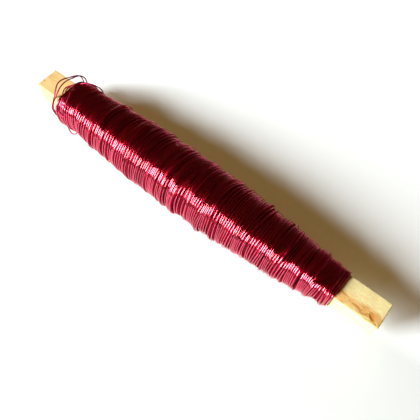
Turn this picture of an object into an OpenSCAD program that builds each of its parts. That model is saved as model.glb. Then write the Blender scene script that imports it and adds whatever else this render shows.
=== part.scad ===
// Lacquered craft wire, wound in a spindle on a square wooden stick and lying on its side.
// Sizes are in millimetres. The origin is on the surface that the reel lies on, under the middle of the
// stick. +X runs along the stick towards its longer bare end, and +Z is up.
// The real reel is two pieces, a stick and one wire. The wire is drawn in three stretches: the buried
// layers as a plain core, the outer layer as one unbroken spiral, and the loose turns at the blunt end.

/* [Stick] */
// Length of the wooden stick
stick_l = 160; // [150:1:180]
// Width and height of the stick's square section
stick_w = 10; // [9:0.25:11]
// Bevel along the stick's long edges
edge_bevel = 0.4; // [0.2:0.1:0.8]
// Bevel round the stick's two end faces
end_bevel = 0.5; // [0.2:0.1:0.8]

/* [Wire] */
// Diameter of the wire
wire_d = 0.5; // [0.4:0.05:0.6]
// Turns of the outer layer that are drawn
turns = 24; // [12:1:24]
// Clearance between the outer layer and the core
layer_gap = 0.2; // [0.15:0.05:0.3]

/* [Winding] */
// Bare stick in front of the winding's blunt end
bare_blunt = 13.5; // [12:0.5:18]
// Bare stick past the winding's tapered end
bare_taper = 16; // [12:0.5:22]
// Thickness of the wound wire at both of its ends
end_t = 0.9; // [0.9:0.1:1.5]
// Thickness of the wound wire at the top of its steep shoulder
shoulder_t = 4.3; // [3.5:0.1:5]
// Thickness of the wound wire at its belly
belly_t = 7; // [6:0.1:8]
// Length of the steep shoulder
shoulder_l = 3; // [3:0.5:5]
// Length of the rise from the shoulder to the belly
rise_l = 40; // [30:1:45]
// Length of the belly
belly_l = 30; // [20:1:35]

/* [Hidden] */

stick_colour = "#eed29a";
core_colour = "#4c0a14";
wire_colour = "#8a1430";
loose_colour = "#a32a45";

overcut = 1;                                   // how far a cutter runs past what it cuts

// The powers that bow each slope
rise_power = 1.1;
taper_power = 1.75;
// The thickness of wire at which the section is more round than square
round_t = 2.4;

// Places along X
wound_start = -stick_l / 2 + bare_blunt;
wound_l = stick_l - bare_blunt - bare_taper;
taper_l = wound_l - shoulder_l - rise_l - belly_l;

// Rings of the core and of the wire, with a flat between two of them facing each side of the stick
turn_rings = 24;
ring_step = 360 / turn_rings;
wire_sides = 6;
loose_sides = 8;
shoulder_steps = 3;
core_steps = 32;                               // along the rise, the belly and the taper

// The outer layer is pressed flat by a tenth of the wire where it meets the surface
wire_r = wire_d / 2;
flat_depth = wire_d / 10;
rest_phi = 270 + ring_step / 2;
rest_z = section_point(rest_phi, belly_t - wire_r, roundness(belly_t)).y + wire_r * sin(rest_phi);
axis_h = -rest_z - flat_depth;

// The spiral, from the blunt end to the tapered end
first_turn_s = 2 * shoulder_l / 3;
last_turn_s = wound_l - 2 * wire_d;
turn_pitch = (last_turn_s - first_turn_s) / turns;
first_phi = -ring_step / 2;
last_ring = turns * turn_rings;

// The loose turns: points that the wire passes, from the stick's axis at the winding's blunt end
LOOSE_POINTS = [
    [1.6, 8.2, 1.5], [1.4, 8.8, 4.5], [0.9, 8.6, 7], [0, 7, 8.6], [-0.8, 4.2, 9],
    [-1.6, 1.6, 9], [-1.8, -1.2, 8.4], [-1.6, -3.6, 7.2], [-2, -5.4, 5], [-3, -6.6, 2.2],
    [-4, -7.2, -1.5], [-4.2, -6.8, -5], [-4, -5, -8.2], [-4, -1.5, -9.8], [-4, 2.5, -9.8],
    [-4, 6.5, -8], [-4, 9, -4.8], [-3.6, 10, -1], [-2.8, 9.8, 2], [-2.4, 9.2, 4.6],
    [-2.2, 7.6, 6.8], [-2.4, 4.2, 8.5], [-3.4, 1.2, 9], [-3.6, -1, 8.8], [-3, -3, 8],
    [-2.4, -5, 6.2], [-2.4, -7, 3.5], [-2.8, -8.2, 0.5], [-1.8, -8.4, -2], [0.8, -8.4, -3]
];
loose_steps = 2;                               // rings for each stretch between two points
loose_tip_phi = 195;                           // where the loose wire's tip lies on the winding

// ---- Shape of the winding ----

// Thickness of the wound wire over the stick, s from the winding's blunt end
function wound_t(s) =
    s < shoulder_l ? end_t + (shoulder_t - end_t) * max(s, 0) / shoulder_l :
    s < shoulder_l + rise_l ?
        belly_t - (belly_t - shoulder_t) * pow(1 - (s - shoulder_l) / rise_l, rise_power) :
    s < wound_l - taper_l ? belly_t :
    belly_t - (belly_t - end_t) * pow(min((s - wound_l + taper_l) / taper_l, 1), taper_power);

// The thicker the wound wire, the rounder its section: 0 keeps the stick's square corners, 1 is a circle
function roundness(t) = 1 - exp(-pow(t / round_t, 2));

// A section's reach along Y or Z: the stick's own half, rounded, and the wire over it
function section_reach(c, t, round_by) = sign(c) * pow(abs(c), round_by) * stick_w / 2 + t * c;

// A point of the section, across and up from the stick's axis, phi from +Y towards +Z
function section_point(phi, t, round_by) =
    [section_reach(cos(phi), t, round_by), section_reach(sin(phi), t, round_by)];

// A point t over the stick, s from the winding's blunt end
function over_stick(s, phi, t) =
    let (p = section_point(phi, t, roundness(wound_t(s)))) [wound_start + s, p.x, p.y + axis_h];

// ---- Tubes ----

// Two sides of each square between the rings of a tube, or of the core
function wall_faces(rings, sides) = [
    for (i = [0 : rings - 2], k = [0 : sides - 1])
        let (a = i * sides, b = a + sides, n = (k + 1) % sides)
        each [[a + k, b + n, a + n], [a + k, b + k, b + n]]
];

// Both caps, each as a fan of triangles
function cap_faces(rings, sides) = [
    for (k = [1 : sides - 2], last = [(rings - 1) * sides])
        each [[0, k, k + 1], [last, last + k + 1, last + k]]
];

function unit(v) = v / norm(v);

// The direction of a path at its point i
function heading(path, i) = unit(path[min(i + 1, len(path) - 1)] - path[max(i - 1, 0)]);

// The direction from the stick's axis to a point, square to the heading
function outward(p, along) =
    let (out = [0, p.y, p.z - axis_h]) unit(out - (out * along) * along);

// The rings of a tube along a path round the stick, none of them lower than the surface
function tube_points(path, sides) = [
    for (i = [0 : len(path) - 1])
        let (along = heading(path, i), out = outward(path[i], along), side = cross(along, out))
        for (k = [0 : sides - 1])
            let (turn = k * 360 / sides, p = path[i] + wire_r * (cos(turn) * out + sin(turn) * side))
            [p.x, p.y, max(p.z, 0)]
];

module tube(path, sides) {
    polyhedron(
        points = tube_points(path, sides),
        faces = concat(wall_faces(len(path), sides), cap_faces(len(path), sides))
    );
}

// ---- The wire's routes ----

// The outer layer's centreline at ring i
function turn_point(i) =
    let (s = first_turn_s + i * turn_pitch / turn_rings)
    over_stick(s, first_phi - i * ring_step, wound_t(s) - wire_r);

spiral = [for (i = [0 : last_ring]) turn_point(i)];
blunt_way = unit(spiral[0] - spiral[1]);       // the wire's heading as it leaves the blunt end
taper_way = unit(spiral[last_ring] - spiral[last_ring - 1]);
spiral_end = spiral[last_ring] + wire_d * taper_way;
spiral_path = concat([spiral[0] + wire_d * blunt_way], spiral, [spiral_end]);

// Each loop against the next one and all later ones, centre to centre, less the wire
least_gap = min([
    for (i = [0 : last_ring - turn_rings / 2], j = [i + turn_rings / 2 : last_ring])
        norm(spiral[i] - spiral[j])
]) - wire_d;

// The loose wire starts where the spiral ends, and its tip lies on the winding
loose_start = spiral_path[0];
loose_tip = over_stick(shoulder_l, loose_tip_phi, wound_t(shoulder_l) - wire_r);
loose_marks = concat(
    [loose_start + wire_d * blunt_way],
    [for (p = LOOSE_POINTS) p + [wound_start, 0, axis_h]],
    [loose_tip]
);

// A smooth curve through four points in a row, from the second (u = 0) to the third (u = 1)
function between(a, b, c, d, u) =
    b + (c - a) * u / 2
    + (2 * a - 5 * b + 4 * c - d) * u * u / 2
    + (3 * b - a - 3 * c + d) * u * u * u / 2;

function smooth(marks, steps) = [
    for (i = [0 : len(marks) - 2])
        let (a = marks[max(i - 1, 0)], d = marks[min(i + 2, len(marks) - 1)])
        for (k = [0 : steps - 1]) between(a, marks[i], marks[i + 1], d, k / steps),
    marks[len(marks) - 1]
];

loose_path = concat([loose_start], smooth(loose_marks, loose_steps));

echo(least_gap_of_outer_turns = least_gap);
echo(resting_height_of_axis = axis_h);

// ---- Sub-parts ----

// The stick's section, with its four bevelled edges, drawn out along X
module bevelled_bar(l) {
    in = stick_w / 2 - edge_bevel;
    out = stick_w / 2;
    rotate([90, 0, 90])
        linear_extrude(l, center = true)
            polygon([
                [in, out], [-in, out], [-out, in], [-out, -in],
                [-in, -out], [in, -out], [out, -in], [out, in]
            ]);
}

// A four-sided point on X that takes the bevel off one end of the bar
module end_trim() {
    face = stick_w / 2 - end_bevel;
    wide = stick_w / 2 + overcut;
    run = overcut + end_bevel;
    for (side = [0 : 90 : 270])
        rotate([side, 0, 0])
            translate([stick_l / 2, 0, 0])
                rotate([90, 0, 0])
                    linear_extrude(2 * wide, center = true)
                        polygon([[0, face], [overcut, face], [overcut, wide], [-run, wide]]);
}

module wooden_stick() {
    color(stick_colour)
        translate([0, 0, axis_h])
            difference() {
                bevelled_bar(stick_l);
                end_trim();
                mirror([1, 0, 0]) end_trim();
            }
}

// The buried layers: their outside follows the section, and the stick fills their square bore
module winding_core() {
    run = wound_l - shoulder_l;
    stations = concat(
        [for (i = [0 : shoulder_steps - 1]) shoulder_l * i / shoulder_steps],
        [for (i = [0 : core_steps]) shoulder_l + run * i / core_steps]
    );
    rings = [
        for (s = stations, k = [0 : turn_rings - 1])
            over_stick(s, (k + 0.5) * ring_step, wound_t(s) - wire_d - layer_gap)
    ];
    count = len(stations);
    color(core_colour)
        difference() {
            polyhedron(
                points = rings,
                faces = concat(wall_faces(count, turn_rings), cap_faces(count, turn_rings))
            );
            translate([0, 0, axis_h]) bevelled_bar(stick_l + 2 * overcut);
        }
}

module outer_turns() {
    color(wire_colour) tube(spiral_path, wire_sides);
}

module loose_end_wire() {
    color(loose_colour) tube(loose_path, loose_sides);
}

wooden_stick();
winding_core();
outer_turns();
loose_end_wire();
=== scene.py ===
"""A reel of lacquered craft wire: one burgundy wire wound in a spindle on a square wooden stick.

Everything is in metres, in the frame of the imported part: the reel lies on z = 0, +X runs along the stick
towards its longer bare end, and -Y is the near side. The three outermost layers of the winding are laid turn
by turn over a plain core, so that each turn rests on those under it.

In all of the script, s is a place along the winding from its blunt end, u is one of the NU ring places round
the stick, and t is a thickness of wire over the stick.
"""
import math

import bpy
import numpy as np
from mathutils import Matrix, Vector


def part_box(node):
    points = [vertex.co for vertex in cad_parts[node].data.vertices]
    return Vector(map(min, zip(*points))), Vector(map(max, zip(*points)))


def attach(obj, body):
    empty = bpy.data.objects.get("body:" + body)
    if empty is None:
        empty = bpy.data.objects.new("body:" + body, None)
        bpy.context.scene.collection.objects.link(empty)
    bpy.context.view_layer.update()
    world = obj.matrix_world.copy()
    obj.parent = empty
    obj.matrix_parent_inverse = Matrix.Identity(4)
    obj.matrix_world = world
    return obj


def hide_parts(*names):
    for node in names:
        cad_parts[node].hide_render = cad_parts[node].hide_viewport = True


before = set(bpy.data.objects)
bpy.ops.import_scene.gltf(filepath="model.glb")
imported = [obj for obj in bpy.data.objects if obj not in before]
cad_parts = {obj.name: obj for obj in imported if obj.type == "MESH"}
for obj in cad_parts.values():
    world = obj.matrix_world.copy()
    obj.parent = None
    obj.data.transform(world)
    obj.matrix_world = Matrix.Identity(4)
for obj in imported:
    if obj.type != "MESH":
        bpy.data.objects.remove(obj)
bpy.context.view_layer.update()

MM = 0.001
BODY = "root"

# ---- Sizes, from the frame ----

stick_low, stick_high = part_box("wooden_stick")
core_low, core_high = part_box("winding_core")
HALF = (stick_high.y - stick_low.y) / 2           # half the stick's width
AXIS_Z = (stick_high.z + stick_low.z) / 2         # height of the stick's axis
STICK_FROM, STICK_TO = stick_low.x, stick_high.x
WOUND_FROM = core_low.x                           # the winding's blunt end
WOUND_L = core_high.x - core_low.x

# ---- Sizes of the wire and the winding ----

WIRE_D = 0.5 * MM
WIRE_R = WIRE_D / 2
END_T = 0.9 * MM                                  # thickness of the winding at both ends
SHOULDER_T = 4.3 * MM                             # at the top of the steep shoulder
BELLY_T = 7.0 * MM                                # at the belly
SHOULDER_L = 3 * MM
RISE_L = 40 * MM
BELLY_L = 30 * MM
TAPER_L = WOUND_L - SHOULDER_L - RISE_L - BELLY_L
RISE_POWER = 1.1                                  # the powers that bow each slope
TAPER_POWER = 1.75
ROUND_T = 2.4 * MM                                # the thickness at which a section is more round than square
SQUARER_BY = 1.8 * MM                             # how much more that takes at the blunt end
SQUARER_FOR = 14 * MM                             # and how far along the winding this reaches
FAR_SIDE_AT = math.radians(22.6)                  # where the winding is slimmer, from +Y towards +Z
FAR_SIDE_LESS = 0.35 * MM                         # and by how much at its belly
# Swellings, and a hollow, along the winding: place, height and width in millimetres
HUMPS = [
    (5, 0.4, 2.5), (13, -0.25, 4), (43, 0.2, 3), (88, 0.2, 6),
    (105, 0.3, 5), (115, 0.75, 9), (123.5, 0.5, 4), (129.5, 0.4, 3.5),
]


def unit(v):
    """A vector, or rows of vectors, at length 1."""
    return v / np.linalg.norm(v, axis=-1, keepdims=True)


# ---- Camera ----

LENS = 38.57                                      # millimetres, as the sensor's width is
SENSOR_WIDTH = 36
CLIP_FROM, CLIP_TO = 0.01, 20
CAMERA_AT = (58.53, -61.48, 147.75)               # millimetres from the middle of the stick's axis
CAMERA_RIGHT = (0.777, 0.6296, -0.0029)
CAMERA_FORWARD = (-0.2863, 0.3492, -0.8922)


def facing(right, up, back, place):
    """The placing of a camera or a lamp, which looks away from its back."""
    return Matrix([[right[k], up[k], back[k], place[k]] for k in range(3)] + [[0, 0, 0, 1]])


def make_camera():
    """The camera looks down on the reel from its near side, past the middle towards the blunt end."""
    data = bpy.data.cameras.new("camera")
    data.sensor_width = SENSOR_WIDTH
    data.lens = LENS
    data.clip_start = CLIP_FROM
    data.clip_end = CLIP_TO
    camera = bpy.data.objects.new("camera", data)
    bpy.context.scene.collection.objects.link(camera)
    forward = unit(np.array(CAMERA_FORWARD))
    right = np.array(CAMERA_RIGHT)
    right = unit(right - forward * right.dot(forward))
    place = np.array(CAMERA_AT) * MM + [0, 0, AXIS_Z]
    camera.matrix_world = facing(right, np.cross(right, forward), -forward, place)
    bpy.context.scene.camera = camera


make_camera()


# ---- Nodes of a material or of the world ----

class Nodes:
    """A node tree, with short calls for adding and joining nodes."""

    def __init__(self, owner, coordinates="Object"):
        owner.use_nodes = True
        self.owner = owner
        self.tree = owner.node_tree
        self.place = self.add("ShaderNodeTexCoord").outputs[coordinates]

    def feed(self, socket, value):
        """Give an input a number, a vector, a colour or another node's output."""
        if isinstance(value, bpy.types.NodeSocket):
            self.tree.links.new(value, socket)
        elif socket.type == "RGBA":
            socket.default_value = (*value, 1)
        else:
            socket.default_value = value

    def add(self, kind, inputs=(), **settings):
        """A node, with its inputs by name or by number."""
        node = self.tree.nodes.new(kind)
        for key, value in settings.items():
            setattr(node, key, value)
        for key, value in dict(inputs).items():
            self.feed(node.inputs[key], value)
        return node

    def shade(self, **inputs):
        """Inputs of the main shader, with an underscore for each space in a name."""
        shader = self.tree.nodes["Principled BSDF"]
        for key, value in inputs.items():
            self.feed(shader.inputs[key.replace("_", " ")], value)

    def surface(self, shader, output="Material Output"):
        self.feed(self.tree.nodes[output].inputs["Surface"], shader.outputs[0])

    def xyz(self):
        split = self.add("ShaderNodeSeparateXYZ", {"Vector": self.place})
        return [split.outputs[axis] for axis in "XYZ"]

    def mapped(self, scale, place=(0, 0, 0), turn=0, kind="POINT"):
        """The coordinates, scaled, turned about Z by some degrees and moved."""
        turned = (0, 0, math.radians(turn))
        inputs = {"Location": place, "Rotation": turned, "Scale": scale, "Vector": self.place}
        return self.add("ShaderNodeMapping", inputs, vector_type=kind).outputs["Vector"]

    def noise(self, vector, scale, detail=3, roughness=0.5, distortion=0):
        inputs = {"Scale": scale, "Detail": detail, "Roughness": roughness, "Distortion": distortion}
        return self.add("ShaderNodeTexNoise", {"Vector": vector, **inputs}).outputs["Fac"]

    def wave(self, vector, scale, distortion=0, detail_scale=1, **kind):
        inputs = {"Vector": vector, "Scale": scale, "Distortion": distortion, "Detail Scale": detail_scale}
        return self.add("ShaderNodeTexWave", inputs, **kind).outputs["Fac"]

    def ramp(self, value, stops):
        """Colours along a value, or greys where a stop has one number. Stops are (position, colour)."""
        node = self.add("ShaderNodeValToRGB", {"Fac": value})
        ramp = node.color_ramp
        while len(ramp.elements) < len(stops):
            ramp.elements.new(0.5)
        for element, (position, colour) in zip(ramp.elements, stops):
            element.position = position
            element.color = (*colour, 1) if isinstance(colour, tuple) else (colour, colour, colour, 1)
        return node.outputs["Color"]

    def smooth_step(self, value, zero_at, top_at, top=1):
        """0 on one side of a value's range, top on the other, and smooth between."""
        inputs = {"Value": value, "From Min": zero_at, "From Max": top_at, "To Max": top}
        return self.add("ShaderNodeMapRange", inputs, interpolation_type="SMOOTHSTEP").outputs["Result"]

    def mix(self, factor, a, b):
        """Colour a where the factor is 0, b where it is 1."""
        return self.add("ShaderNodeMix", {0: factor, 6: a, 7: b}, data_type="RGBA").outputs[2]

    def scaled(self, colour, factor):
        """A colour times a value, which may pass 1."""
        inputs = {0: colour, "Scale": factor}
        return self.add("ShaderNodeVectorMath", inputs, operation="SCALE").outputs["Vector"]

    def length(self, vector):
        return self.add("ShaderNodeVectorMath", {0: vector}, operation="LENGTH").outputs["Value"]

    def maths(self, operation, *values):
        return self.add("ShaderNodeMath", enumerate(values), operation=operation).outputs[0]

    def bump(self, height, strength, distance):
        inputs = {"Height": height, "Strength": strength, "Distance": distance}
        return self.add("ShaderNodeBump", inputs).outputs["Normal"]


def new_material(name):
    return Nodes(bpy.data.materials.new(name))


# ---- Materials of the wire ----

MIDDLE_TONE = 0.5
LACQUER_TINT = (0.9, 0.35, 0.45)
LACQUER_ROUGHNESS = 0.08
LACQUER_IOR = 1.65


def wire_material(name, tones, roughness, coat, metallic=1.0):
    """Bright copper under transparent burgundy lacquer, with three tones and between two roughnesses."""
    m = new_material(name)
    tone = m.add("ShaderNodeAttribute", attribute_name="tone").outputs["Fac"]
    cloud = m.noise(m.place, scale=900, detail=2)
    smoother, rougher = roughness
    m.shade(
        Base_Color=m.ramp(tone, list(zip((0, MIDDLE_TONE, 1), tones))),
        Roughness=m.ramp(cloud, [(0.3, smoother), (0.7, rougher)]),
        Metallic=metallic,
        Specular_Tint=LACQUER_TINT,
        Coat_Weight=coat,
        Coat_Roughness=LACQUER_ROUGHNESS,
        Coat_IOR=LACQUER_IOR,
    )
    return m.owner


def core_material():
    """The same wire where it is buried, painted nearly black as the shade deep between the turns."""
    m = new_material("buried_wire_painted_shade")
    turns = m.wave(m.place, scale=320, wave_type="BANDS", bands_direction="X")
    colour = m.ramp(turns, [(0.2, (0.01, 0.0005, 0.001)), (0.9, (0.10, 0.003, 0.01))])
    m.shade(Base_Color=colour, Metallic=0.9, Roughness=0.4)
    return m.owner


# ---- Material of the stick ----

# Colours along a noise: of the plain wood, of the tanner shorter bare end, and of the streak
CREAM = [(0.3, (1.0, 0.80, 0.33)), (0.55, (1.0, 0.93, 0.45)), (0.8, (1.0, 0.98, 0.60))]
TANNED = [(0.38, (0.84, 0.575, 0.235)), (0.5, (0.80, 0.50, 0.185)), (0.62, (0.67, 0.355, 0.11))]
BROWN = [(0.36, (1.0, 0.73, 0.31)), (0.5, (0.93, 0.54, 0.17)), (0.62, (0.66, 0.31, 0.07))]
RING_COLOUR = (0.94, 0.58, 0.19)
CLOUD_COLOUR = (0.98, 0.66, 0.26)
FLECK_COLOUR = (0.96, 0.62, 0.27)
PITH_Y, PITH_Z = -0.016, -0.004                   # the middle of the growth rings
TANNED_FROM, TANNED_TO = -0.03, -0.06             # along X, from no cast to all of it
TANNED_SHARE = 0.9
STREAK_IN, STREAK_OUT = 0.0009, 0.0020            # across the top, where the streak is full and where it ends
STREAK_WANDER = 0.0042
STREAK_ABOVE = AXIS_Z + 0.9 * HALF                # the streak is on the top alone
STREAK_TURN = 14                                  # degrees between its veins and the stick
# Knots and nicks on the stick's top: middle, half length and half width (millimetres), turn (degrees), colour
NICK = ((76.6, -3.1), (1.6, 0.85), -36, (0.62, 0.22, 0.028))
KNOTS = [
    ((78.6, -2.4), (2.2, 1.3), -30, (0.80, 0.46, 0.14)),
    NICK,
    ((78.6, -4.5), (0.40, 0.28), -30, (0.42, 0.30, 0.08)),
    ((-79.2, -1.9), (0.75, 0.42), -20, (0.66, 0.30, 0.07)),
]
KNOT_DEPTH = 1.2 * MM
KNOT_RAGGED = 0.5                                 # how ragged a knot's edge is, as a share of its size
KNOT_IN, KNOT_OUT = 0.85, 1.35                    # where the edge begins and ends, as a share of its size


def knot(m, place, size, turn):
    """A soft spot on the stick's top, 1 in its middle."""
    middle = (place[0] * MM, place[1] * MM, AXIS_Z + HALF)
    reach = m.length(m.mapped((size[0] * MM, size[1] * MM, KNOT_DEPTH), middle, turn, kind="TEXTURE"))
    ragged = m.maths("MULTIPLY_ADD", m.noise(m.place, scale=2200, detail=2), KNOT_RAGGED, reach)
    return m.smooth_step(ragged, KNOT_OUT, KNOT_IN)


def wood_material():
    """Pale softwood: growth rings round a pith beside the stick, a tan streak, small knots, a sawn face.

    All of its noises but the knots' are drawn out along X, as the grain is.
    """
    m = new_material("pale_softwood")
    x, y, z = m.xyz()
    pith = m.mapped((0.05, 1, 1), place=(0, -PITH_Y, -PITH_Z))
    rings = m.wave(pith, scale=250, distortion=3, detail_scale=120, wave_type="RINGS", rings_direction="X")
    fibres = m.noise(m.mapped((0.08, 1, 1)), scale=2600, detail=4, roughness=0.6)
    cloud = m.noise(m.mapped((0.3, 1, 1)), scale=260)
    flecks = m.noise(m.mapped((0.7, 1, 1)), scale=1400, detail=2, roughness=0.6)
    colour = m.ramp(fibres, CREAM)
    colour = m.mix(m.ramp(rings, [(0.55, 0), (1, 0.28)]), colour, RING_COLOUR)
    colour = m.mix(m.ramp(cloud, [(0.42, 0), (0.75, 0.45)]), colour, CLOUD_COLOUR)
    colour = m.mix(m.ramp(flecks, [(0.46, 0), (0.62, 0.55)]), colour, FLECK_COLOUR)
    # A tanner cast over the shorter bare end
    cast = m.smooth_step(x, TANNED_FROM, TANNED_TO, TANNED_SHARE)
    grain = m.noise(m.mapped((0.15, 1, 1)), scale=1300, roughness=0.65)
    tanned = m.ramp(m.maths("MULTIPLY", m.maths("ADD", cloud, grain), 0.5), TANNED)
    colour = m.mix(cast, colour, tanned)
    # The tan streak along the near half of the top at the longer bare end
    wander = m.noise(m.mapped((0.25, 1, 1)), scale=420, roughness=0.6)
    streak = m.smooth_step(m.maths("MULTIPLY_ADD", wander, STREAK_WANDER, y), STREAK_OUT, STREAK_IN)
    here = m.maths("MULTIPLY", m.maths("GREATER_THAN", x, 0), m.maths("GREATER_THAN", z, STREAK_ABOVE))
    veins = m.noise(m.mapped((0.25, 1, 1), turn=STREAK_TURN), scale=1000, roughness=0.6, distortion=1.2)
    colour = m.mix(m.maths("MULTIPLY", streak, here), colour, m.ramp(veins, BROWN))
    for place, size, turn, spot in KNOTS:
        colour = m.mix(knot(m, place, size, turn), colour, spot)
    m.shade(
        Base_Color=colour,
        Roughness=m.ramp(fibres, [(0.2, 0.72), (0.8, 0.55)]),
        Normal=m.bump(fibres, strength=0.5, distance=0.05 * MM),
    )
    return m.owner


WIRE = wire_material(
    "burgundy_lacquered_copper",
    tones=((0.46, 0.011, 0.046), (0.72, 0.024, 0.096), (0.88, 0.042, 0.145)),
    roughness=(0.10, 0.18), coat=1.0,
)
# The layers under the last one: a darker, duller copy of the wire, painted shade where they show between the
# last turns
SHADED = wire_material(
    "shaded_lacquered_copper",
    tones=((0.26, 0.003, 0.018), (0.44, 0.010, 0.044), (0.60, 0.020, 0.068)),
    roughness=(0.28, 0.40), coat=0.1,
)
# The wire where it stands free, with the lacquer thick on it
FREE = wire_material(
    "free_lacquered_copper",
    tones=((0.26, 0.003, 0.034), (0.42, 0.005, 0.060), (0.56, 0.009, 0.085)),
    roughness=(0.22, 0.32), coat=0, metallic=0.45,
)
BURIED = core_material()
WOOD = wood_material()


# ---- The section of the winding ----

NU = 64                                           # ring places in a turn
FIRST_PHI = -45                                   # where ring place 0 begins, in degrees from +Y towards +Z
SECTION_STEPS = 1440                              # steps round a section, before it is shared out evenly
TABLE_STEP = 0.5 * MM                             # the sections are worked out once, at these places
TABLE_FROM = -2 * MM
TABLE_TO = WOUND_L + 2 * MM


def wound_t(s):
    """Thickness of the wound wire over the stick, s from the winding's blunt end."""
    s = np.asarray(s, float)
    shoulder = END_T + (SHOULDER_T - END_T) * np.clip(s / SHOULDER_L, 0, 1)
    up = np.clip((s - SHOULDER_L) / RISE_L, 0, 1)
    rise = BELLY_T - (BELLY_T - SHOULDER_T) * (1 - up) ** RISE_POWER
    down = np.clip((s - WOUND_L + TAPER_L) / TAPER_L, 0, 1)
    taper = BELLY_T - (BELLY_T - END_T) * down ** TAPER_POWER
    t = np.where(s < SHOULDER_L, shoulder, np.where(down > 0, taper, rise))
    for place, height, width in HUMPS:
        t = t + height * MM * np.exp(-(((s / MM - place) / width) ** 2))
    return t


def section_row(s):
    """Even places round the section at s: across, up, and the direction in which thickness grows there."""
    t = float(wound_t(s))
    round_t = ROUND_T + SQUARER_BY * math.exp(-((s / SQUARER_FOR) ** 2))
    power = 1 - math.exp(-((t / round_t) ** 2))
    phi = np.radians(np.linspace(FIRST_PHI, FIRST_PHI + 360, SECTION_STEPS + 1))
    way = np.stack([np.cos(phi), np.sin(phi)], 1)
    slimmer = FAR_SIDE_LESS * np.clip(np.cos(phi - FAR_SIDE_AT), 0, 1) ** 2 * min(t / BELLY_T, 1) ** 2
    points = np.sign(way) * np.abs(way) ** power * HALF + (t - slimmer[:, None]) * way
    along = np.concatenate([[0], np.cumsum(np.linalg.norm(np.diff(points, axis=0), axis=1))])
    at = (np.arange(NU) + 0.5) / NU * along[-1]
    return np.stack([np.interp(at, along, column) for column in (*points.T, *way.T)], 1)


table_s = np.arange(TABLE_FROM, TABLE_TO, TABLE_STEP)
SECTIONS = np.array([section_row(s) for s in table_s])
LAST_ROW = len(table_s) - 1.001                   # just short of it, so that a next row is always there


def on_section(s, u, t):
    """Points over the stick at s, ring place u and thickness t, and the direction outwards."""
    at = np.clip((s - TABLE_FROM) / TABLE_STEP, 0, LAST_ROW)
    row = at.astype(int)
    part = (at - row)[:, None]
    here = SECTIONS[row, u] * (1 - part) + SECTIONS[row + 1, u] * part
    nominal = np.interp(s, table_s, wound_t(table_s))
    out = unit(here[:, 2:])
    flat = here[:, :2] + (t - nominal)[:, None] * out
    points = np.column_stack([WOUND_FROM + s, flat[:, 0], flat[:, 1] + AXIS_Z])
    return points, np.column_stack([np.zeros(len(s)), out])


# ---- Meshes ----

def add_piece(name, points, faces, smooth, material):
    mesh = bpy.data.meshes.new(name)
    mesh.from_pydata(points.tolist(), [], faces)
    mesh.polygons.foreach_set("use_smooth", smooth)
    mesh.materials.append(material)
    mesh.update()
    piece = bpy.data.objects.new(name, mesh)
    bpy.context.scene.collection.objects.link(piece)
    return piece


def belongs(piece):
    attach(piece, BODY)


def tube(name, centres, out, sides, tone, material):
    """A closed round tube along centres; out points away from the stick and keeps it from twisting."""
    count = len(centres)
    along = unit(np.gradient(centres, axis=0))
    out = unit(out - (out * along).sum(1)[:, None] * along)
    side = np.cross(along, out)
    turn = 2 * np.pi * np.arange(sides) / sides
    rings = centres[:, None] + WIRE_R * (
        np.cos(turn)[None, :, None] * out[:, None] + np.sin(turn)[None, :, None] * side[:, None]
    )
    k = np.arange(sides)
    first = np.arange(count - 1)[:, None] * sides
    following = (k + 1) % sides
    quads = np.stack([first + k, first + following, first + sides + following, first + sides + k], 2)
    caps = [list(range(sides))[::-1], [(count - 1) * sides + i for i in range(sides)]]
    faces = quads.reshape(-1, 4).tolist() + caps
    smooth = [True] * (len(faces) - len(caps)) + [False] * len(caps)
    piece = add_piece(name, rings.reshape(-1, 3), faces, smooth, material)
    layer = piece.data.attributes.new("tone", "FLOAT", "POINT")
    layer.data.foreach_set("value", np.repeat(tone, sides).astype(np.float32))
    return piece


# ---- The winding, laid turn by turn ----

SEED = 20
CELL = 0.05 * MM                                  # the height under the wire is kept cell by cell
PRESS = np.arange(-5, 6)                          # the cells that a wire covers
COVER = np.sqrt(np.maximum(WIRE_R ** 2 - (PRESS * CELL) ** 2, 0))
LAYER = 0.44 * MM                                 # a layer's share of the thickness, nested as it is
LAYERS = 3
EDGE = 2 * MM                                     # room past both ends of the winding
# The bunches in the layers under those that are laid, in millimetres unless it says otherwise
BUNCH_WIDTH = (1.6, 3.6)
BUNCH_HEIGHT = (0.0, 0.14)
BUNCH_LEAN = (0.2, 0.9)                           # how far one sways along the stick in a turn
BUNCH_SWELL = (0.03, 0.11)
BUNCH_SWELLS = (2, 5)                             # how often one swells in a turn
BUNCH_STEP = (0.75, 1.0)                          # the next one's distance, as a share of its width
BUNCH_SUNK = 0.18 * MM                            # how deep they all lie
BUNCH_ROOM = 1.5 * MM                             # the thickness of wire at which they are full size
# A pass's route along the stick
GAP_OVER = 0.9 * NU                               # ring places over which the turns' gaps change
GAP_LIMITS = (-0.7, 1.6)
WEAVES = ((1, 0.45 * MM), (2, 0.25 * MM))         # waves in a turn, and their reach
WEAVE_OVER = 4 * NU                               # ring places over which they change
WEAVE_ROOM = 2 * MM                               # the distance from its ends at which a route weaves in full
STRAY_LENGTH = (0.3, 0.8)                         # half of a stray stretch, in turns
STRAY_REACH = (0.6, 1.2)                          # how far it strays, in millimetres
# How the wire settles
SLIDES = np.arange(-4, 5) * CELL                  # how far a turn may slide into a groove
SLIDE_COST = 0.25                                 # a slide has to lower the wire by this share of itself
# Ring places over which the stiff wire evens out its height, its place and its slides
STIFF_HEIGHT = 5
STIFF_PLACE = 9
STIFF_SLIDE = 13
SPRING_OVER = 7                                   # ring places over which the wire's spring changes
SPRING_LIFTS = 0.3                                # the higher this is, the more of the wire springs up
SPRING_MOST = 2                                   # as a share of the pass's spring
# Lighter and darker stretches of wire: how strong, and over how many turns
TONE_CHANGES = ((0.16, 1.3), (0.12, 0.35))


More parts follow.
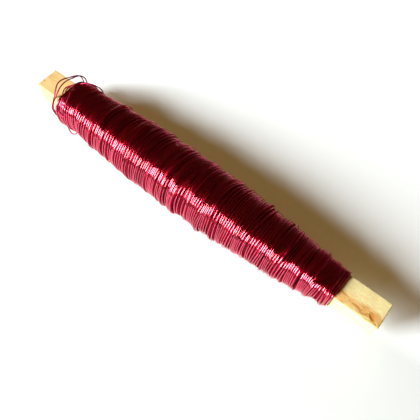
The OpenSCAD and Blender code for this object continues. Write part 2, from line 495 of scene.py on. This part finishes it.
def smooth_noise(rng, count, step):
    """Random numbers that change smoothly, one knot every step."""
    knots = rng.normal(size=int(count / step) + 3)
    at = np.arange(count) / step
    i = at.astype(int)
    part = at - i
    part = part * part * (3 - 2 * part)
    return knots[i] * (1 - part) + knots[i + 1] * part


def averaged(values, width):
    kernel = np.hanning(width + 2)[1:-1]
    kernel /= kernel.sum()
    padded = np.pad(values, width // 2, mode="edge")
    return np.convolve(padded, kernel, mode="valid")


def ease_in(values, before, count):
    """Bend the first values towards the one before them."""
    ease = np.linspace(0, 1, count)
    values[:count] = before * (1 - ease) + values[:count] * ease


def ground(rng):
    """The height of the layers under those that are laid: the spindle, with its bunches of turns."""
    s = np.arange(-EDGE, WOUND_L + EDGE, CELL)
    bunches = np.zeros((len(s), NU))
    round_stick = np.arange(NU) / NU
    place = -EDGE
    while place < WOUND_L + EDGE:
        width = rng.uniform(*BUNCH_WIDTH) * MM
        height = rng.uniform(*BUNCH_HEIGHT) * MM
        lean = rng.uniform(*BUNCH_LEAN) * MM * np.sin(2 * np.pi * (round_stick + rng.random()))
        swell = rng.uniform(*BUNCH_SWELL) * MM
        swell = swell * (1 + np.sin(2 * np.pi * (rng.integers(*BUNCH_SWELLS) * round_stick + rng.random())))
        across = (s[:, None] - place - lean[None, :]) / width
        bunches = np.maximum(bunches, (height + swell[None, :]) * (1 - np.abs(2 * across - 1) ** 3))
        place += width * rng.uniform(*BUNCH_STEP)
    under = wound_t(s) - LAYERS * LAYER
    room = np.clip(under / BUNCH_ROOM, 0, 1)
    height = np.maximum(under, 0)[:, None] + (bunches - BUNCH_SUNK) * room[:, None]
    return np.where((s[:, None] < -CELL) | (s[:, None] > WOUND_L), 0, np.maximum(height, 0))


def resting(height, s, u):
    """How high the centre of a wire lies, at each place, on what is under it."""
    cell = np.rint((s + EDGE) / CELL).astype(int)
    under = height[np.clip(cell[:, None] + PRESS, 0, len(height) - 1), u[:, None]]
    return (under + COVER).max(1), cell


def planned_route(rng, start, stop, pitch, strays, uneven, widening):
    """Where a pass of the wire is led along the stick, and its number of turns."""
    sign = 1 if stop > start else -1
    turns = int(abs(stop - start) / pitch)
    count = turns * NU
    gaps = np.clip(smooth_noise(rng, count, GAP_OVER), *GAP_LIMITS)
    route = np.cumsum((1 + uneven * gaps) * (1 + widening * np.linspace(-1, 1, count)))
    route = start + (stop - start) * route / route[-1]
    turn = 2 * np.pi * np.arange(count) / NU
    room = np.clip(np.minimum(np.abs(route - start), np.abs(stop - route)) / WEAVE_ROOM, 0, 1)
    for times, reach in WEAVES:
        for wave in (np.cos(times * turn), np.sin(times * turn)):
            route = route + room * reach * wave * smooth_noise(rng, count, WEAVE_OVER)
    for _ in range(int(strays * turns)):
        centre = rng.uniform(2, turns - 2) * NU
        length = rng.uniform(*STRAY_LENGTH) * NU
        away = np.clip(1 - ((np.arange(count) - centre) / length) ** 2, 0, 1) ** 2
        route = route - sign * rng.uniform(*STRAY_REACH) * MM * away * room
    return np.clip(route, min(start, stop), max(start, stop)), turns


def slide_to_groove(height, s, u):
    """How far each place of a turn slides along the stick, to lie lower."""
    tries = [averaged(resting(height, s + d, u)[0], STIFF_PLACE) + SLIDE_COST * abs(d) for d in SLIDES]
    return averaged(SLIDES[np.argmin(tries, 0)], STIFF_SLIDE)


def pulled_taut(rest, bridge):
    """A wire's height where it is pulled over what it rests on, bridging short hollows."""
    taut = np.maximum(rest, averaged(rest, bridge))
    return averaged(np.maximum(taut, averaged(taut, STIFF_PLACE)), STIFF_HEIGHT)


def lay_wire(height, rng, start, stop, first_u, pitch, strays=0, spring=0, uneven=0.18, widening=0, bridge=7):
    """One pass of the wire from start to stop. Returns where it lies: s, ring place and thickness.

    The pass starts at ring place first_u. strays is the share of its turns that stray, spring is how far the
    wire springs up, uneven is how much the gaps vary, widening is how much they grow along the way. bridge is
    how long a hollow the wire spans, in ring places. What is laid raises height for the next pass.
    """
    route, turns = planned_route(rng, start, stop, pitch, strays, uneven, widening)
    us = (first_u + np.arange(turns * NU)) % NU
    lies = np.zeros(turns * NU)
    for first in range(0, turns * NU, NU):
        part = slice(first, first + NU)
        u = us[part]
        slide = slide_to_groove(height, route[part], u)
        ease_in(slide, last_slide if first else slide[0], STIFF_PLACE)
        last_slide = slide[-1]
        route[part] += slide
        rest, cell = resting(height, route[part], u)
        if first:
            before = lies[first - STIFF_PLACE:first]
            taut = pulled_taut(np.concatenate([before, rest]), bridge)[-NU:]
            ease_in(taut, before[-1], STIFF_HEIGHT)
        else:
            taut = pulled_taut(rest, bridge)
        lies[part] = taut
        for k, cover in zip(PRESS, COVER):
            at = np.clip(cell + k, 0, len(height) - 1)
            height[at, u] = np.maximum(height[at, u], taut + cover)
    lift = spring * np.clip(smooth_noise(rng, turns * NU, SPRING_OVER) + SPRING_LIFTS, 0, SPRING_MOST)
    return averaged(route, STIFF_PLACE), us, averaged(averaged(lies, bridge) + lift, SPRING_OVER)


def turn_tones(rng, count):
    """Lighter and darker stretches of wire, between 0 and 1."""
    tone = MIDDLE_TONE
    for strength, turns in TONE_CHANGES:
        tone = tone + strength * smooth_noise(rng, count, turns * NU)
    return np.clip(tone, 0, 1)


def wire_centres(s, u, t):
    """The wire's centres, none of them lower than it lies on the floor, and the directions outwards."""
    points, out = on_section(s, u, t)
    points[:, 2] = np.maximum(points[:, 2], WIRE_R)
    return points, out


LEAVES_S = 2 * MM                                 # where the last turn leaves the winding
LEAVES_U = 7                                      # facing +Y


def make_winding():
    """Three passes of the wire, the last one towards the blunt end. Returns them and the last one's rings."""
    rng = np.random.default_rng(SEED)
    height = ground(rng)
    inner = lay_wire(height, rng, start=WOUND_L - 0.6 * MM, stop=1.4 * MM, first_u=0, pitch=0.68 * MM)
    middle = lay_wire(height, rng, start=1.0 * MM, stop=WOUND_L - 0.7 * MM, first_u=20, pitch=0.72 * MM)
    last = lay_wire(
        height, rng, start=WOUND_L - 0.3 * MM, stop=LEAVES_S, first_u=LEAVES_U + 1, pitch=0.9 * MM,
        strays=0.03, spring=0.18 * MM, uneven=0.38, widening=0.15, bridge=15,
    )
    pieces = []
    # Name, rings, sides of the wire, every how many rings it is drawn, material
    for name, (s, u, t), sides, every, material in (
        ("inner_turns", inner, 6, 2, SHADED),
        ("middle_turns", middle, 6, 1, SHADED),
        ("last_turns", last, 8, 1, WIRE),
    ):
        centres, out = wire_centres(s[::every], u[::every], t[::every])
        pieces.append(tube(name, centres, out, sides, turn_tones(rng, len(centres)), material))
    return pieces, last


CORE_FROM = 0.3 * MM
CORE_STEP = 1 * MM
CORE_UNDER = (LAYERS + 0.3) * LAYER               # how deep the core lies under the winding's outside
CORE_LEAST_T = 0.12 * MM


def make_core():
    """The buried layers, a skin just under the turns that are laid."""
    s = np.arange(CORE_FROM, WOUND_L, CORE_STEP)
    t = np.maximum(wound_t(s) - CORE_UNDER, CORE_LEAST_T)
    k = np.arange(NU)
    rings = [on_section(np.full(NU, a), k, np.full(NU, b))[0] for a, b in zip(s, t)]
    following = (k + 1) % NU
    faces = []
    for first in range(0, (len(s) - 1) * NU, NU):
        a, b = first + k, first + following
        faces += np.stack([a, a + NU, b + NU, b], 1).tolist()
    faces.append(list(range(NU)))
    faces.append([(len(s) - 1) * NU + i for i in range(NU)][::-1])
    return add_piece("buried_layers", np.concatenate(rings), faces, [True] * len(faces), BURIED)


winding, last_pass = make_winding()
core = make_core()
for piece in (*winding, core):
    belongs(piece)
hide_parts("winding_core")
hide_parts("outer_turns")


# ---- The stick ----

EDGE_BEVEL = 0.35 * MM
END_REACH = 18 * MM                               # how far from its ends the stick shows, and is worn
FIRST_CUT, CUT_STEP = 0.5 * MM, 0.9 * MM          # the rings of edges that let it be uneven there
CUTS_ACROSS = np.linspace(-0.84, 0.84, 8) * HALF
UNEVEN_SCALE = 1.6 * MM
UNEVEN_HEIGHT = 0.22 * MM
NICK_SHARE = (0.8, 0.6)                           # what the nick's hollow takes of its dark spot
NICK_DEPTH = 0.12 * MM
SMOOTH_UNDER = math.radians(25)                   # edges flatter than this are shaded smooth


def cut_across(places, middle, normal):
    """Edges round the whole piece, square to the normal, at places along it."""
    for place in places:
        bpy.ops.mesh.select_all(action="SELECT")
        point = np.array(middle) + place * np.array(normal)
        bpy.ops.mesh.bisect(plane_co=tuple(point), plane_no=normal)


def cut_nick(stick):
    """Take a shallow ball, drawn out along the nick, from the stick's top."""
    (x, y), (half_l, half_w), turn, _ = NICK
    bpy.ops.mesh.primitive_uv_sphere_add(
        segments=20, ring_count=10, radius=1, location=(x * MM, y * MM, AXIS_Z + HALF),
        rotation=(0, 0, math.radians(turn)),
        scale=(NICK_SHARE[0] * half_l * MM, NICK_SHARE[1] * half_w * MM, NICK_DEPTH),
    )
    gouge = bpy.context.object
    bpy.ops.object.select_all(action="DESELECT")
    stick.select_set(True)
    bpy.context.view_layer.objects.active = stick
    bpy.ops.object.modifier_add(type="BOOLEAN")
    nick = stick.modifiers[-1]
    nick.object = gouge
    nick.operation = "DIFFERENCE"
    bpy.ops.object.modifier_apply(modifier=nick.name)
    bpy.data.objects.remove(gouge)


def make_stick():
    """A sawn square bar with eased edges, a little uneven where it shows, and a nick at its longer end."""
    length = STICK_TO - STICK_FROM
    middle = ((STICK_FROM + STICK_TO) / 2, 0, AXIS_Z)
    bpy.ops.object.select_all(action="DESELECT")
    bpy.ops.mesh.primitive_cube_add(size=1, location=middle, scale=(length, 2 * HALF, 2 * HALF))
    stick = bpy.context.object
    stick.name = "sawn_stick"
    bpy.ops.object.transform_apply(location=True, rotation=True, scale=True)
    bpy.ops.object.mode_set(mode="EDIT")
    bpy.ops.mesh.select_all(action="SELECT")
    bpy.ops.mesh.bevel(offset=EDGE_BEVEL, segments=3, affect="EDGES")
    shown = np.arange(FIRST_CUT, END_REACH, CUT_STEP)
    cut_across(np.concatenate([shown - length / 2, length / 2 - shown]), middle, (1, 0, 0))
    cut_across(CUTS_ACROSS, middle, (0, 1, 0))
    cut_across(CUTS_ACROSS, middle, (0, 0, 1))
    bpy.ops.mesh.select_all(action="SELECT")
    bpy.ops.mesh.normals_make_consistent(inside=False)
    bpy.ops.object.mode_set(mode="OBJECT")
    waves = bpy.data.textures.new("sawn_waves", "CLOUDS")
    waves.noise_scale = UNEVEN_SCALE
    bpy.ops.object.modifier_add(type="DISPLACE")
    uneven = stick.modifiers[-1]
    uneven.texture = waves
    uneven.texture_coords = "LOCAL"
    uneven.strength = UNEVEN_HEIGHT
    uneven.mid_level = 0.5
    bpy.ops.object.modifier_apply(modifier=uneven.name)
    cut_nick(stick)
    bpy.ops.object.shade_smooth_by_angle(angle=SMOOTH_UNDER)
    stick.data.materials.clear()
    stick.data.materials.append(WOOD)
    return stick


stick = make_stick()
belongs(stick)
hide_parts("wooden_stick")


# ---- The loose turns at the blunt end ----

FREE_SIDES = 10                                   # sides of the free wire
FREE_STEPS = 6                                    # rings for each stretch between two of its points
TIP_S = SHOULDER_L + 0.6 * MM                     # where the loose wire's tip lies on the winding
TIP_U = 42                                        # facing -Y

# The points that the loose wire passes, in millimetres from the stick's axis at the winding's blunt end
LOOSE_POINTS = [
    (1.6, 8.2, 1.5), (1.4, 8.8, 4.5), (0.9, 8.6, 7), (0, 7, 8.6), (-0.8, 4.2, 9),
    (-1.6, 1.6, 9), (-1.8, -1.2, 8.4), (-1.6, -3.6, 7.2), (-2, -5.4, 5), (-3, -6.6, 2.2),
    (-4, -7.2, -1.5), (-4.2, -6.8, -5), (-4, -5, -8.2), (-4, -1.5, -9.8), (-4, 2.5, -9.8),
    (-4, 6.5, -8), (-4, 9, -4.8), (-3.6, 10, -1), (-2.8, 9.8, 2), (-2.4, 9.2, 4.6),
    (-2.2, 7.6, 6.8), (-2.4, 4.2, 8.5), (-3.4, 1.2, 9), (-3.6, -1, 8.8), (-3, -3, 8),
    (-2.4, -5, 6.2), (-2.4, -7, 3.5), (-2.8, -8.2, 0.5), (-1.8, -8.4, -2), (0.8, -8.4, -3),
]


def from_axis(points):
    """Millimetres from the stick's axis at the winding's blunt end, as points in the frame."""
    return np.array(points) * MM + [WOUND_FROM, 0, AXIS_Z]


def curve_through(marks, steps):
    """A smooth curve through points, with some steps from each to the next."""
    marks = np.array(marks)
    ends = np.concatenate([[2 * marks[0] - marks[1]], marks, [2 * marks[-1] - marks[-2]]])
    u = (np.arange(steps) / steps)[:, None]
    runs = []
    for a, b, c, d in zip(ends[:-3], ends[1:-2], ends[2:-1], ends[3:]):
        runs.append(b + (c - a) * u / 2 + (2 * a - 5 * b + 4 * c - d) * u ** 2 / 2
                    + (3 * b - a - 3 * c + d) * u ** 3 / 2)
    return np.concatenate([*runs, marks[-1:]])


def free_wire(name, path):
    """A tube of free wire along a path round the stick's axis."""
    out = np.column_stack([np.zeros(len(path)), path[:, 1], path[:, 2] - AXIS_Z])
    return tube(name, path, out, FREE_SIDES, np.full(len(path), MIDDLE_TONE), FREE)


def make_loose_wire():
    """The free wire, on from where the last turn leaves the winding."""
    end, _ = wire_centres(*(rings[-3:] for rings in last_pass))
    tip, _ = on_section(np.array([TIP_S]), np.array([TIP_U]), np.array([SHOULDER_T]))
    marks = [end[-1], end[-1] + WIRE_D * unit(end[-1] - end[-2]), *from_axis(LOOSE_POINTS), *tip]
    path = curve_through(marks, FREE_STEPS)
    piece = free_wire("loose_turns", path)
    return piece


loose = make_loose_wire()
belongs(loose)
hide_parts("loose_end_wire")


# ---- Slack strands at the blunt end ----

# The points that each passes, placed as the loose wire's are. The ends lie in the winding or on it.
SLACK_STRANDS = {
    "slack_turn": [
        (9.6, 7.6, 2.0), (10.4, 8.6, 3.4), (10.7, 9.1, 4.6), (10, 8.7, 6.6), (8.2, 7.6, 8.3),
        (6.2, 6.3, 8.9), (3.5, 4.8, 8.3), (0.9, 3.5, 7.2), (-0.9, 1.9, 6.4), (-1.8, 0.3, 6.0),
        (-1.4, -1.2, 5.8), (-0.6, -2.4, 5.7), (0.8, -3.6, 5.9), (2.2, -4.4, 5.8),
    ],
    "second_slack_turn": [
        (10.2, 6.2, 4.8), (10.4, 7.2, 6.6), (9.2, 7.2, 8.4), (6.6, 6.0, 9.4), (4.2, 4.8, 8.8),
        (2.2, 3.4, 7.7), (-0.4, 1.5, 6.3), (-1.0, 0.4, 5.9), (-0.5, -1.0, 5.7), (0.5, -2.2, 5.7),
        (1.9, -3.2, 5.6),
    ],
    "outer_rim_strand": [
        (4.6, -3.6, 8.0), (3.4, -4.8, 8.3), (2.2, -5.8, 7.2), (0.1, -6.6, 3.6), (-1.5, -7.3, 0.4),
        (-1.5, -7.9, -1.4), (0.8, -8.6, -2.2), (3.4, -9.2, -2.0), (5.6, -9.0, -1.2),
    ],
    "inner_rim_strand": [
        (5.0, -3.9, 7.8), (4.1, -5.2, 8.4), (3.2, -6.4, 7.4), (1.8, -7.2, 5.0), (1.2, -7.8, 3.0),
        (2.0, -8.4, 2.2), (3.8, -8.9, 2.4), (5.8, -8.6, 2.6),
    ],
    "rim_curl": [
        (7.6, -6.2, 6.4), (6.6, -7.2, 7.3), (5.2, -7.0, 7.6), (4.0, -7.7, 6.9), (3.4, -8.6, 5.2),
        (4.0, -9.3, 4.0), (5.8, -9.6, 3.9), (7.8, -9.1, 4.0),
    ],
    "standing_strand": [
        (4.6, -1.2, 8.8), (5.6, -2.2, 10.1), (6.2, -3.4, 10.1), (6.5, -4.8, 9.5), (6.8, -6.0, 8.7),
        (7.1, -7.1, 7.8), (7.4, -7.6, 6.4),
    ],
    "low_loop": [
        (5.0, -8.8, -0.2), (6.6, -9.5, -1.3), (7.6, -9.9, -2.5), (8.3, -10.2, -3.7), (9.6, -10.3, -4.1),
        (11.4, -10.2, -3.1), (12.8, -9.7, -1.5), (13.8, -8.8, 0.2),
    ],
}

for strand_name, points in SLACK_STRANDS.items():
    strand = free_wire(strand_name, curve_through(from_axis(points), FREE_STEPS))
    belongs(strand)


# ---- The stage ----

FLOOR_SIZE = 2.4                                  # metres
FLOOR_COLOUR = (0.91, 0.95, 0.97)
# Painted light: the paper glows warm for the camera and in reflections, as fill light in its shadow
PAINTED_FILL_GLOW = (0.097, 0.085, 0.022)              # the paper's warm glow, which shows in the shadow
CAMERA_GAIN = 1.34                                # on the side of the shadow, and away from the reel
NEAR_GAIN = 0.92                                  # close to the reel, on its other sides
SHADED_X = (-0.085, -0.065)                       # where the side of the shadow begins, along X and across
SHADED_Y = (-0.003, 0.012)
CALM_LENGTH, CALM_WIDTH = 0.14, 0.05              # half the oval close to the reel, along X and across
CALM_EDGE = (0.8, 1.7)                            # where it fades out, as a share of its size
FAR_SIDE_FROM, FAR_SIDE_TO = 0.04, 0.09           # where the paper turns dimmer in reflections
FAR_SIDE_DIM = 0.1
ROOM_COLOUR = (0.095, 0.026, 0.014)
ROOM_AT_HORIZON = 0.9
ROOM_OVERHEAD = 0.75
BACKDROP_COLOUR = (0.80, 0.81, 0.79)
# The window, once as it lights the paper and the wood, and once as the wire mirrors it. Its bearing, its
# lowest and highest angle and its tilt are in degrees.
WINDOWS = [
    {
        "name": "window", "away": 0.85, "bearing": 233.8, "low": 10.3, "high": 40.0, "wide": 0.372,
        "tilt": 0, "power": 20.9, "colour": (0.90, 0.96, 0.98), "only_gloss": False,
    },
    {
        "name": "window_sheen", "away": 1.6, "bearing": 230.5, "low": 7.5, "high": 31, "wide": 1.3,
        "tilt": 23, "power": 92, "colour": (0.85, 1.0, 0.75), "only_gloss": True,
    },
]


def area_light(name, away, bearing, low, high, wide, tilt, power, colour, only_gloss):
    """A lamp that faces the middle of the floor, and shows either in gloss alone or in all else."""
    bearing, low, high, tilt = (math.radians(angle) for angle in (bearing, low, high, tilt))
    middle = (low + high) / 2
    data = bpy.data.lights.new(name, "AREA")
    data.shape = "RECTANGLE"
    data.size = wide
    data.size_y = 2 * away * math.tan((high - low) / 2)
    data.energy = power
    data.color = colour
    lamp = bpy.data.objects.new(name, data)
    lamp.visible_diffuse = not only_gloss
    lamp.visible_glossy = only_gloss
    lamp.visible_camera = False
    bpy.context.scene.collection.objects.link(lamp)
    back = np.array([
        math.cos(bearing) * math.cos(middle), math.sin(bearing) * math.cos(middle), math.sin(middle)
    ])
    right = unit(np.cross([0, 0, 1], back))
    right = math.cos(tilt) * right + math.sin(tilt) * np.cross(back, right)
    lamp.matrix_world = facing(right, np.cross(back, right), back, away * back)


def floor_material():
    """White paper whose brightness varies by place, in one way for the camera and in another for gloss; its
    warm glow is painted fill light.
    """
    m = new_material("floor_white")
    x, y, _ = m.xyz()
    light_path = m.add("ShaderNodeLightPath")
    seen = light_path.outputs["Is Camera Ray"]
    mirrored = light_path.outputs["Is Glossy Ray"]
    shaded_side = m.maths("MULTIPLY", m.smooth_step(x, *SHADED_X), m.smooth_step(y, *SHADED_Y))
    reach = m.length(m.mapped((1 / CALM_LENGTH, 1 / CALM_WIDTH, 0)))
    brighter = m.maths("MAXIMUM", shaded_side, m.smooth_step(reach, *CALM_EDGE))
    gain = m.maths("MULTIPLY_ADD", brighter, CAMERA_GAIN - NEAR_GAIN, NEAR_GAIN - 1)
    for_camera = m.maths("MULTIPLY_ADD", seen, gain, 1)
    far_side = m.maths("MULTIPLY", m.smooth_step(y, FAR_SIDE_FROM, FAR_SIDE_TO), mirrored)
    for_gloss = m.maths("MULTIPLY_ADD", far_side, FAR_SIDE_DIM - 1, 1)
    colour = m.scaled(FLOOR_COLOUR, m.maths("MULTIPLY", for_camera, for_gloss))
    paper = m.add("ShaderNodeBsdfDiffuse", {"Color": colour})
    # The glow is painted fill light, seen by the camera and in reflections, which shows in the shadow
    glow = m.add("ShaderNodeEmission", {"Color": PAINTED_FILL_GLOW, "Strength": m.maths("ADD", seen, mirrored)})
    m.surface(m.add("ShaderNodeAddShader", {0: paper.outputs["BSDF"], 1: glow.outputs["Emission"]}))
    return m.owner


def room_world():
    """A dim warm room, darker overhead, which the camera sees as a pale backdrop."""
    world = bpy.data.worlds.new("room")
    bpy.context.scene.world = world
    m = Nodes(world, coordinates="Generated")
    _, _, z = m.xyz()
    strength = m.add("ShaderNodeMapRange", {"Value": z, "To Min": ROOM_AT_HORIZON, "To Max": ROOM_OVERHEAD})
    room = m.tree.nodes["Background"]
    m.feed(room.inputs["Color"], ROOM_COLOUR)
    m.feed(room.inputs["Strength"], strength.outputs["Result"])
    backdrop = m.add("ShaderNodeBackground", {"Color": BACKDROP_COLOUR})
    seen = m.add("ShaderNodeLightPath").outputs["Is Camera Ray"]
    inputs = {0: seen, 1: room.outputs["Background"], 2: backdrop.outputs["Background"]}
    m.surface(m.add("ShaderNodeMixShader", inputs), output="World Output")


def make_stage():
    bpy.ops.mesh.primitive_plane_add(size=FLOOR_SIZE, location=(0, 0, 0))
    floor = bpy.context.object
    floor.name = "floor"
    floor.data.materials.append(floor_material())
    for window in WINDOWS:
        area_light(**window)
    room_world()
    bpy.context.scene.view_settings.view_transform = "Standard"


make_stage()
